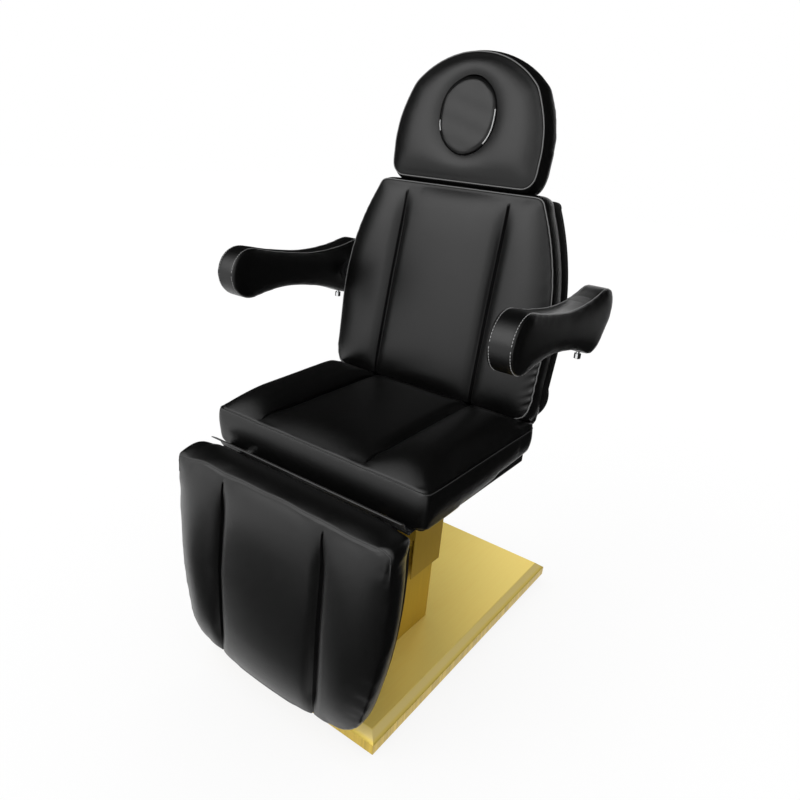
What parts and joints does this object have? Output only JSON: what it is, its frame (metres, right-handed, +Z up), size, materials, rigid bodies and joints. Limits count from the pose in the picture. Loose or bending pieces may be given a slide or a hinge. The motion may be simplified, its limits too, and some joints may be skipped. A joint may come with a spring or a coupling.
{
  "type": "tattoo chair",
  "caption": "Electric tattoo chair on a lifting column, with reclining back, raising leg rest, sliding headrest with a face plug, and two swinging armrests.",
  "frame": {"origin": "middle of the chair's footprint, on the floor", "axes": "+Z up; the sitter looks along -Y, with the sitter's left at +X"},
  "size_m": [0.791, 0.958, 1.476],
  "materials": {
    "black_upholstery": "soft satin leatherette",
    "gold_paint": "satin gold lacquer",
    "black_frame_paint": "satin black powder coat",
    "steel": "zinc plated",
    "chrome": "polished",
    "covered_board": "plywood wrapped in black cover",
    "black_plastic": "fine matt grain",
    "aluminium": "anodised grey",
    "rubber": "matt"
  },
  "bodies": {
    "base": {"base_tray": "gold_paint", "base_frame": "black_frame_paint", "rubber_feet": "rubber", "foot_studs": "steel", "column_lower_cover": "gold_paint", "mast_outer_tube": "steel", "mast_bolts": "steel", "mast_glide_pads": "black_plastic", "lift_actuator_housing": "aluminium", "mains_inlet": "black_plastic"},
    "seat": {"column_upper_cover": "gold_paint", "mast_inner_tube": "steel", "lift_actuator_rod": "chrome", "crosshead_plate": "steel", "seat_frame": "black_frame_paint", "seat_frame_lugs": "black_frame_paint", "seat_board": "covered_board", "seat_cushion": "black_upholstery", "back_hinge_pins": "steel", "leg_hinge_pins": "steel", "actuator_rear_pins": "steel", "flap_rail": "black_plastic", "control_box": "black_plastic", "back_actuator_housing": "aluminium", "leg_actuator_housing": "aluminium"},
    "flap": {"hinge_flap": "black_plastic"},
    "leg_rest": {"leg_frame": "black_frame_paint", "leg_hinge_ears": "black_frame_paint", "leg_crank": "black_frame_paint", "leg_crank_pin": "steel", "leg_board": "covered_board", "leg_cushion": "black_upholstery"},
    "backrest": {"back_frame": "black_frame_paint", "back_hinge_hubs": "black_frame_paint", "back_crank": "black_frame_paint", "back_crank_pin": "steel", "back_board": "covered_board", "back_cushion": "black_upholstery", "head_sleeves": "black_frame_paint", "head_clamp_knob": "black_plastic", "arm_bracket_left": "black_frame_paint", "arm_bracket_right": "black_frame_paint"},
    "headrest": {"head_board": "covered_board", "head_cushion": "black_upholstery", "head_rods": "chrome", "head_mounts": "black_frame_paint"},
    "face_plug": {"face_plug": "black_upholstery"},
    "arm_left": {"arm_pad_left": "black_upholstery", "arm_hub_left": "black_plastic", "arm_clamp_screw_left": "chrome"},
    "arm_right": {"arm_pad_right": "black_upholstery", "arm_hub_right": "black_plastic", "arm_clamp_screw_right": "chrome"},
    "back_rod": {"back_actuator_rod": "chrome"},
    "leg_rod": {"leg_actuator_rod": "chrome"}
  },
  "joints": [
    {"name": "lift_slide", "type": "slide", "parent": "base", "child": "seat", "axis": [0, 0, 1], "range_m": [0, 0.23]},
    {"name": "back_recline", "type": "hinge", "parent": "seat", "child": "backrest", "pos_m": [0, 0.149, 0.59], "axis": [-1, 0, 0], "range_deg": [0, 83.7]},
    {"name": "leg_raise", "type": "hinge", "parent": "seat", "child": "leg_rest", "pos_m": [0, -0.371, 0.56], "axis": [-1, 0, 0], "range_deg": [0, 90]},
    {"name": "flap_fold", "type": "hinge", "parent": "seat", "child": "flap", "pos_m": [0, -0.359, 0.562], "axis": [-1, 0, 0], "range_deg": [0, 32.1]},
    {"name": "head_slide", "type": "slide", "parent": "backrest", "child": "headrest", "axis": [0, 0.1097, 0.994], "range_m": [0, 0.12]},
    {"name": "plug_slide", "type": "slide", "parent": "headrest", "child": "face_plug", "axis": [0, -0.994, 0.1097], "range_m": [0, 0.11]},
    {"name": "arm_left_turn", "type": "hinge", "parent": "backrest", "child": "arm_left", "pos_m": [0.365, 0.139, 0.925], "axis": [-1, 0, 0], "range_deg": [-80, 80]},
    {"name": "arm_right_turn", "type": "hinge", "parent": "backrest", "child": "arm_right", "pos_m": [-0.365, 0.139, 0.925], "axis": [-1, 0, 0], "range_deg": [-80, 80]},
    {"name": "back_rod_slide", "type": "slide", "parent": "seat", "child": "back_rod", "axis": [0, 0.994, 0.109], "range_m": [-0.1025, 0]},
    {"name": "leg_rod_slide", "type": "slide", "parent": "seat", "child": "leg_rod", "axis": [0, -0.9975, 0.0706], "range_m": [0, 0.087]}
  ],
  "couplings": [
    {"joint": "back_rod_slide", "follows": "back_recline", "m_per_rad": -0.06944},
    {"joint": "leg_rod_slide", "follows": "leg_raise", "m_per_rad": 0.05488},
    {"joint": "flap_fold", "follows": "leg_raise", "ratio": 0.3556}
  ]
}
